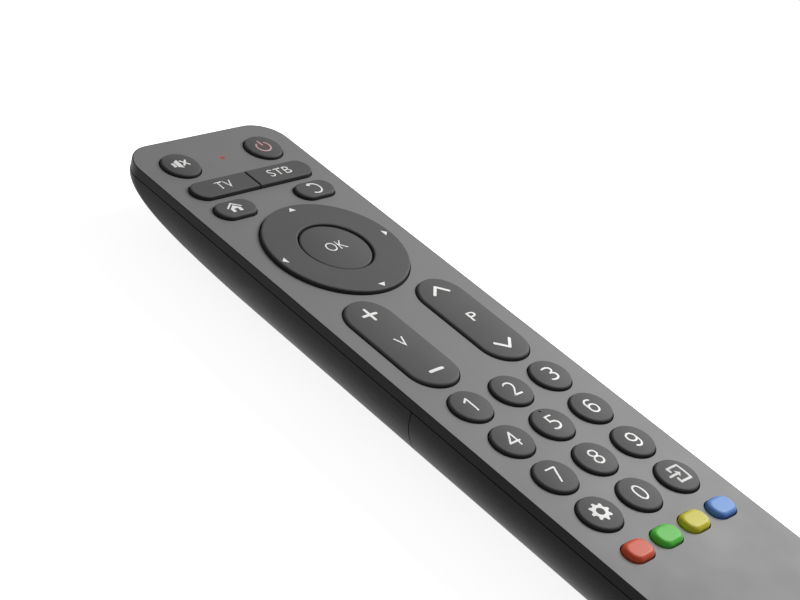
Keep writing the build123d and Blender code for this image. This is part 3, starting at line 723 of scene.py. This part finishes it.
# %% [markdown]
# A drawn legend is moved over its key and dropped on it: every point falls straight down onto the key's
# skin, so the print follows the dome. Then Solidify gives the film its thickness. Strokes that cross
# are kept 2 micrometres apart in height, because faces in one plane would flicker.

# %% Print a legend on a key
INK_LIFT = 0.03 * MM
INK_THICKNESS = 0.05 * MM
CROSSING_STEP = 0.002 * MM
RAY_START_HEIGHT = 0.05


def lay_on(pieces, node, name, ink, centre, side=1):
    """Prints flat pieces on a node's skin, from above when side is 1 and from below when it is -1."""
    for index, piece in enumerate(pieces):
        piece.data.transform(Matrix.Translation((centre.x, centre.y, index * CROSSING_STEP)))
    legend = join_all(pieces, name)
    edit_all(legend)
    bpy.ops.mesh.subdivide(number_cuts=2)
    bpy.ops.mesh.quads_convert_to_tris(quad_method="BEAUTY", ngon_method="BEAUTY")
    close_edit()
    select_faces(legend, lambda face: face.normal.z * side < 0)
    bpy.ops.mesh.flip_normals()
    close_edit()
    bpy.context.view_layer.update()
    for vertex in legend.data.vertices:
        start = Vector((vertex.co.x, vertex.co.y, side * RAY_START_HEIGHT))
        hit, place, normal, face = skins[node].ray_cast(start, Vector((0, 0, -side)))
        if not hit:
            raise ValueError(name + " reaches past its key")
        vertex.co.z = place.z + side * (INK_LIFT + vertex.co.z)
    add_and_apply(legend, "SOLIDIFY", thickness=INK_THICKNESS, offset=-1.0)
    legend.data.materials.clear()
    legend.data.materials.append(ink)
    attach(legend, body_of[node])
    return legend


print("printing ready")

# %% [markdown]
# Digits and the plain function words come first. Their heights, widths and places are read off the
# photograph, as distances from the middle of each key. The one, four, six, seven and nine are drawn
# from strokes and arcs, because the plain font's forms differ: here the one has a flag, the four's bar
# lies low, the seven bends, and the six is a ring whose left side runs up and hooks over. The nine is
# that six turned round.

# %% Digits and words
DIGIT_HEIGHT = 4.35
DIGIT_STROKE = 0.46
DIGIT_SHIFT = Vector((-0.36, -0.1, 0)) * MM
DIGIT_WEIGHT = -0.01
WORD_WEIGHT = -0.006
DIGIT_WIDTHS = {0: 2.85, 2: 2.95, 3: 2.8, 5: 2.8, 8: 2.75}
DIGIT_REACH = DIGIT_HEIGHT / 2 - DIGIT_STROKE / 2


def drawn_one():
    stem = 0.17
    flag = (-1.05, 1.05)
    return [
        stroke((stem, -DIGIT_REACH), (stem, DIGIT_REACH), DIGIT_STROKE),
        stroke((stem, DIGIT_REACH), flag, DIGIT_STROKE),
    ]


def drawn_four():
    stem = 0.62
    left, right = -1.6, 1.2
    bar = -0.85
    return [
        stroke((stem, -DIGIT_REACH), (stem, DIGIT_REACH), DIGIT_STROKE),
        stroke((stem, DIGIT_REACH), (left, bar), DIGIT_STROKE),
        stroke((left, bar), (right, bar), DIGIT_STROKE),
    ]


def drawn_six():
    """A ring at the foot, an upright left side, and an arc that hooks over at the top."""
    radius = 1.18
    foot = radius - DIGIT_REACH
    hook_end = 40
    return [
        arc((0, foot), radius, DIGIT_STROKE, 0, 360),
        stroke((-radius, foot), (-radius, -foot), DIGIT_STROKE),
        arc((0, -foot), radius, DIGIT_STROKE, hook_end, 180 - hook_end),
    ]


def drawn_seven():
    """The foot bends a little more upright than the upper part."""
    corner = (1.45, DIGIT_REACH)
    bend = (0.5, 0.1)
    return [
        stroke((-1.0, DIGIT_REACH), corner, DIGIT_STROKE),
        stroke(corner, bend, DIGIT_STROKE),
        stroke(bend, (-0.3, -DIGIT_REACH), DIGIT_STROKE),
    ]


def drawn_nine():
    pieces = drawn_six()
    for piece in pieces:
        piece.data.transform(Matrix.Rotation(math.pi, 4, "Z"))
    return pieces


DRAWN_DIGITS = {1: drawn_one, 4: drawn_four, 6: drawn_six, 7: drawn_seven, 9: drawn_nine}
legends = []
for digit in range(10):
    node = "key_%d" % digit
    if digit in DRAWN_DIGITS:
        glyph = DRAWN_DIGITS[digit]()
    else:
        glyph = [words(str(digit), DIGIT_HEIGHT, DIGIT_WIDTHS[digit], weight=DIGIT_WEIGHT)]
    legends.append(lay_on(glyph, node, "legend_" + node, white_ink, middle_of(node) + DIGIT_SHIFT))
for node, text, height, width, place in (
        ("tv_key", "TV", 2.8, 4.9, (0.62, 0)),
        ("stb_key", "STB", 2.7, 6.85, (-0.85, 0.13)),
        ("ok_key", "OK", 3.05, 5.6, (-0.43, -0.1))):
    glyph = words(text, height, width, place, weight=WORD_WEIGHT)
    legends.append(lay_on([glyph], node, "legend_" + node, white_ink, middle_of(node)))
print("digits and words:", len(legends))

# %% [markdown]
# The two rockers carry plus and minus, and two chevrons, in bolder strokes, with a thin letter between.

# %% Rocker legends
BOLD = 0.75
BOLDER = 0.8
CHEVRON_X = -0.4
volume_marks = [
    stroke((-1.95, 10.12), (1.75, 10.12), BOLD),
    stroke((-0.1, 8.3), (-0.1, 11.95), BOLD),
    words("V", 3.1, 2.7, (-0.15, -0.22)),
    stroke((-1.8, -10.78), (1.8, -10.78), BOLDER),
]
legends.append(lay_on(volume_marks, "volume_rocker", "legend_volume_rocker", white_ink,
                      middle_of("volume_rocker")))
programme_marks = []
for tip, ends, half in ((12.03, 9.78, 2.3), (-11.83, -9.42, 2.4)):
    for side in (-1, 1):
        end = (CHEVRON_X + side * half, ends)
        programme_marks.append(stroke((CHEVRON_X, tip), end, BOLD))
programme_marks.append(words("P", 2.95, 2.4, (0, 0.1)))
legends.append(lay_on(programme_marks, "programme_rocker", "legend_programme_rocker", white_ink,
                      middle_of("programme_rocker")))
print("rockers:", len(volume_marks) + len(programme_marks), "marks")

# %% [markdown]
# Small solid triangles on the direction ring point outward, one each way.

# %% Ring triangles
TRIANGLE_BASE = 15.25
TRIANGLE_TIP = 16.5
TRIANGLE_HALF = 1.0
TRIANGLE_SHIFT = Vector((-0.2, -0.15, 0)) * MM
triangles = []
for turn in range(4):
    triangle = flat_shape([
        (TRIANGLE_BASE, -TRIANGLE_HALF), (TRIANGLE_TIP, 0), (TRIANGLE_BASE, TRIANGLE_HALF)])
    triangle.data.transform(Matrix.Rotation(math.radians(90 * turn), 4, "Z"))
    triangles.append(triangle)
legends.append(lay_on(triangles, "dpad_ring", "legend_dpad_ring", white_ink,
                      middle_of("dpad_ring") + TRIANGLE_SHIFT))
print("triangles:", len(triangles))

# %% [markdown]
# The symbols are plain and generic: a muted speaker, a power ring, a house, a return arrow, a gear and
# an arrow into a frame. Each is a short list of strokes in millimetres about the middle of its key.

# %% Symbols
FINE = 0.42
BROAD = 0.58


def mute_marks():
    cross = 0.5
    return [
        flat_shape([(-2.75, -1.0), (-2.0, -1.0), (-2.0, 0.6), (-2.75, 0.6)]),
        flat_shape([(-1.8, -1.15), (-0.55, -1.9), (-0.55, 1.55), (-1.8, 0.8)]),
        stroke((0, -1.05), (1.6, 0.8), cross),
        stroke((0, 0.8), (1.6, -1.05), cross),
    ]


def power_marks():
    return [arc((-0.6, -0.5), 1.85, FINE, 125, 290), stroke((-0.6, 0.05), (-0.6, 1.95), FINE)]


def home_marks():
    return [
        stroke((-1.93, 0.42), (0, 1.93), FINE),
        stroke((0, 1.93), (1.93, 0.42), FINE),
        flat_shape([(-1.5, -0.09), (1.5, -0.09), (0, 1.17)]),
        flat_shape([(-1.5, -1.27), (-0.56, -1.27), (-0.56, -0.09), (-1.5, -0.09)]),
        flat_shape([(0.56, -1.27), (1.5, -1.27), (1.5, -0.09), (0.56, -0.09)]),
    ]


def back_marks():
    return [
        arc((-0.35, -0.1), 1.85, FINE, -128, 240),
        flat_shape([(-1.75, 1.5), (-0.75, 0.9), (-0.7, 2.2)]),
    ]


def gear_marks():
    """A thick ring with eight teeth that narrow outward."""
    marks = [arc((0, 0), 1.42, 0.85, 0, 360)]
    root, tip = 1.7, 2.45
    root_half, tip_half = 0.5, 0.27
    for tooth in range(8):
        shape = flat_shape([(root, -root_half), (tip, -tip_half), (tip, tip_half), (root, root_half)])
        shape.data.transform(Matrix.Rotation(math.radians(45 * tooth), 4, "Z"))
        marks.append(shape)
    return marks


def input_marks():
    """A frame that is open on its left, and an arrow that goes in there."""
    left, right = -1.43, 1.88
    low, high = -2.13, 1.98
    arrow = -0.05
    return [
        stroke((left, high), (right, high), BROAD),
        stroke((right, high), (right, low), BROAD),
        stroke((right, low), (left, low), BROAD),
        stroke((left, high), (left, 1.0), BROAD),
        stroke((left, low), (left, -1.1), BROAD),
        stroke((-2.7, arrow), (-0.3, arrow), BROAD),
        flat_shape([(0.6, arrow), (-0.45, 0.9), (-0.45, -1.0)]),
    ]


symbols = (
    ("mute_key", mute_marks, white_ink, (0, 0)),
    ("power_key", power_marks, lamp_glow_ink, (0, 0)),
    ("home_key", home_marks, white_ink, (-0.4, -0.25)),
    ("back_key", back_marks, white_ink, (0, 0)),
    ("settings_key", gear_marks, white_ink, (-0.28, -0.08)),
    ("input_key", input_marks, grey_ink, (0, 0)),
)
for node, marks, ink, shift in symbols:
    centre = middle_of(node) + Vector((shift[0], shift[1], 0)) * MM
    legends.append(lay_on(marks(), node, "legend_" + node, ink, centre))
print("legends in all:", len(legends))

# %% [markdown]
# A battery contact is a nickel-plated blade with a conical spring wound from wire. The wire is a curve
# whose points climb a cone by a formula, given a round section and turned into a mesh. It stands on
# the blade, and its tip stops where the cell begins.

# %% Springs and blades
BLADE_THICKNESS = 0.4 * MM
BLADE_BEND = 0.12 * MM
WIRE_RADIUS = 0.28
SPRING_TURNS = 3.5
POINTS_PER_TURN = 20
SPRING_BASE = 2.8
SPRING_TIP = 1.85


def spring(x, y_blade, y_tip, z):
    """A conical spring between two places along Y."""
    curve = bpy.data.curves.new("spring_wire", "CURVE")
    curve.dimensions = "3D"
    curve.bevel_depth = WIRE_RADIUS * MM
    curve.bevel_resolution = 3
    curve.use_fill_caps = True
    count = round(SPRING_TURNS * POINTS_PER_TURN)
    line = curve.splines.new("POLY")
    line.points.add(count)
    away = 1 if y_tip > y_blade else -1
    start = y_blade + away * WIRE_RADIUS * MM
    reach = y_tip - away * WIRE_RADIUS * MM - start
    for index, point in enumerate(line.points):
        share = index / count
        angle = 2 * math.pi * SPRING_TURNS * share
        radius = (SPRING_BASE + (SPRING_TIP - SPRING_BASE) * share) * MM
        point.co = (x + radius * math.cos(angle), start + reach * share, z + radius * math.sin(angle), 1)
    wire = bpy.data.objects.new("spring_wire", curve)
    bpy.context.scene.collection.objects.link(wire)
    select_only(wire)
    bpy.ops.object.convert(target="MESH")
    bpy.ops.object.shade_smooth()
    return bpy.context.object


def blade(low, high):
    """A flat contact with softly bent edges."""
    bpy.ops.object.select_all(action="DESELECT")
    bpy.ops.mesh.primitive_cube_add(size=1)
    piece = bpy.context.object
    piece.data.transform(Matrix.Diagonal((high.x - low.x, high.y - low.y, high.z - low.z, 1)))
    piece.data.transform(Matrix.Translation((low + high) / 2))
    edit_all(piece)
    bpy.ops.mesh.bevel(offset=BLADE_BEND, segments=2)
    close_edit()
    return piece


def contact(node, spring_x, blade_is_low):
    """A blade with one spring, which together stand for a contact node."""
    low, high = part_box(node)
    if blade_is_low:
        plate = blade(low, Vector((high.x, low.y + BLADE_THICKNESS, high.z)))
        coil = spring(spring_x, low.y + BLADE_THICKNESS, high.y, (low.z + high.z) / 2)
    else:
        plate = blade(Vector((low.x, high.y - BLADE_THICKNESS, low.z)), high)
        coil = spring(spring_x, high.y - BLADE_THICKNESS, low.y, (low.z + high.z) / 2)
    piece = join_all([plate, coil], node + "_wound")
    piece.data.materials.clear()
    piece.data.materials.append(nickel_material)
    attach(piece, body_of[node])
    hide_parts(node)
    return piece


contacts = [
    contact("negative_contact", middle_of("battery_right").x, False),
    contact("link_contact", middle_of("battery_left").x, True),
]
frame["nodes"]["positive_contact"].data.materials.clear()
frame["nodes"]["positive_contact"].data.materials.append(nickel_material)
print("contacts:", [piece.name for piece in contacts])

# %% [markdown]
# Each cell's wrap is printed with a plain plus by its nub and a minus by its flat end. They are laid on
# from below, on the side that shows when the cover is off.

# %% Cell marks
CELL_MARK_INSET = 6
CELL_MARK_ARM = 1.2
CELL_MARK_STROKE = 0.5


def cell_marks(node, nub_side):
    low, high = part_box(node)
    nub = nub_side * ((high.y - low.y) / 2 / MM - CELL_MARK_INSET)
    arm = CELL_MARK_ARM
    return [
        stroke((-arm, nub), (arm, nub), CELL_MARK_STROKE),
        stroke((0, nub - arm), (0, nub + arm), CELL_MARK_STROKE),
        stroke((-arm, -nub), (arm, -nub), CELL_MARK_STROKE),
    ]


for node, nub_side in NUB_SIDES.items():
    lay_on(cell_marks(node, nub_side), node, "marks_" + node, white_ink, middle_of(node), side=-1)
print("cell marks printed")

# %% [markdown]
# The floor is plain white. Camera, glossy and transmission rays see it with a little light of its own,
# so that it reads as a white page, and it still keeps the soft shadow of the object.

# %% Floor
FLOOR_COLOUR = 0.8
FLOOR_LIFT = 0.88
FLOOR_SIZE = 8.0
FLOOR_DROP = 0.02 * MM
SHOWN_RAYS = ("Is Camera Ray", "Is Glossy Ray", "Is Transmission Ray")


def any_ray(tree, kinds):
    """1 for a ray of any of the kinds, else 0."""
    rays = tree.nodes.new("ShaderNodeLightPath")
    found = rays.outputs[kinds[0]]
    for kind in kinds[1:]:
        either = add_node(tree, "ShaderNodeMath", operation="MAXIMUM")
        tree.links.new(found, either.inputs[0])
        tree.links.new(rays.outputs[kind], either.inputs[1])
        found = either.outputs[0]
    return found


def floor_material():
    material = bpy.data.materials.new("white floor")
    material.use_nodes = True
    tree = material.node_tree
    shader = tree.nodes["Principled BSDF"]
    shader.inputs["Base Color"].default_value = (FLOOR_COLOUR, FLOOR_COLOUR, FLOOR_COLOUR, 1.0)
    shader.inputs["Roughness"].default_value = 0.9
    shader.inputs["Specular IOR Level"].default_value = 0.0
    shader.inputs["Emission Color"].default_value = (1.0, 1.0, 1.0, 1.0)
    lift = add_node(tree, "ShaderNodeMath", {1: FLOOR_LIFT}, operation="MULTIPLY")
    tree.links.new(any_ray(tree, SHOWN_RAYS), lift.inputs[0])
    tree.links.new(lift.outputs[0], shader.inputs["Emission Strength"])
    return material


bpy.ops.object.select_all(action="DESELECT")
bpy.ops.mesh.primitive_plane_add(size=FLOOR_SIZE, location=(0, 0, -FLOOR_DROP))
floor = bpy.context.object
floor.name = "studio_floor"
floor.data.materials.append(floor_material())
print("floor ready")

# %% [markdown]
# The light is one soft box off the keypad's right side, near and at 45 degrees, so that the sides toward
# the camera stay dark. The world is white to the eye and in reflections, and gives a weaker, even light
# to everything else.

# %% Light and world
KEY_LIGHT_PLACE = Vector((0.25, -0.02, 0.25))
KEY_LIGHT_AIM = Vector((0.01, 0.0, 0.01))
KEY_LIGHT_SIZE = 0.17
KEY_LIGHT_SPREAD = math.radians(95)
KEY_LIGHT_POWER = 0.43
AMBIENT = 0.165

bpy.ops.object.light_add(type="AREA", location=KEY_LIGHT_PLACE)
key_light = bpy.context.object
key_light.data.size = KEY_LIGHT_SIZE
key_light.data.spread = KEY_LIGHT_SPREAD
key_light.data.energy = KEY_LIGHT_POWER
key_light.rotation_euler = (KEY_LIGHT_AIM - KEY_LIGHT_PLACE).to_track_quat("-Z", "Y").to_euler()

world = bpy.data.worlds.new("studio white")
world.use_nodes = True
bpy.context.scene.world = world
sky = world.node_tree
even_light = sky.nodes["Background"]
even_light.inputs["Color"].default_value = (1.0, 1.0, 1.0, 1.0)
strength = add_node(sky, "ShaderNodeMapRange", {"To Min": AMBIENT, "To Max": 1.0})
shown = any_ray(sky, SHOWN_RAYS)
sky.links.new(shown, strength.inputs["Value"])
sky.links.new(strength.outputs[0], even_light.inputs["Strength"])
bpy.context.scene.view_settings.view_transform = "Standard"
print("key light", round((KEY_LIGHT_AIM - KEY_LIGHT_PLACE).length, 3), "m away")

# %% [markdown]
# The camera repeats the photograph's angle. Its place and directions were solved from the photograph:
# it looks down from beyond the left side and the lower end, rolled a little, through a long lens.

# %% Camera
CAMERA_PLACE = Vector((-0.27465, -0.18179, 0.22945))
CAMERA_FORWARD = Vector((0.68786, 0.50013, -0.52604)).normalized()
CAMERA_UP = Vector((0.2214, 0.5456, 0.8083))
CAMERA_LENS = 81.63

bpy.ops.object.camera_add()
camera = bpy.context.object
camera_right = CAMERA_FORWARD.cross(CAMERA_UP).normalized()
camera_up = camera_right.cross(CAMERA_FORWARD)
turn = Matrix((camera_right, camera_up, -CAMERA_FORWARD)).transposed()
camera.matrix_world = Matrix.Translation(CAMERA_PLACE) @ turn.to_4x4()
camera.data.lens = CAMERA_LENS
camera.data.sensor_width = 36.0
camera.data.clip_start = 0.01
bpy.context.scene.camera = camera
print("camera", round(CAMERA_PLACE.length, 3), "m from the middle of the remote")
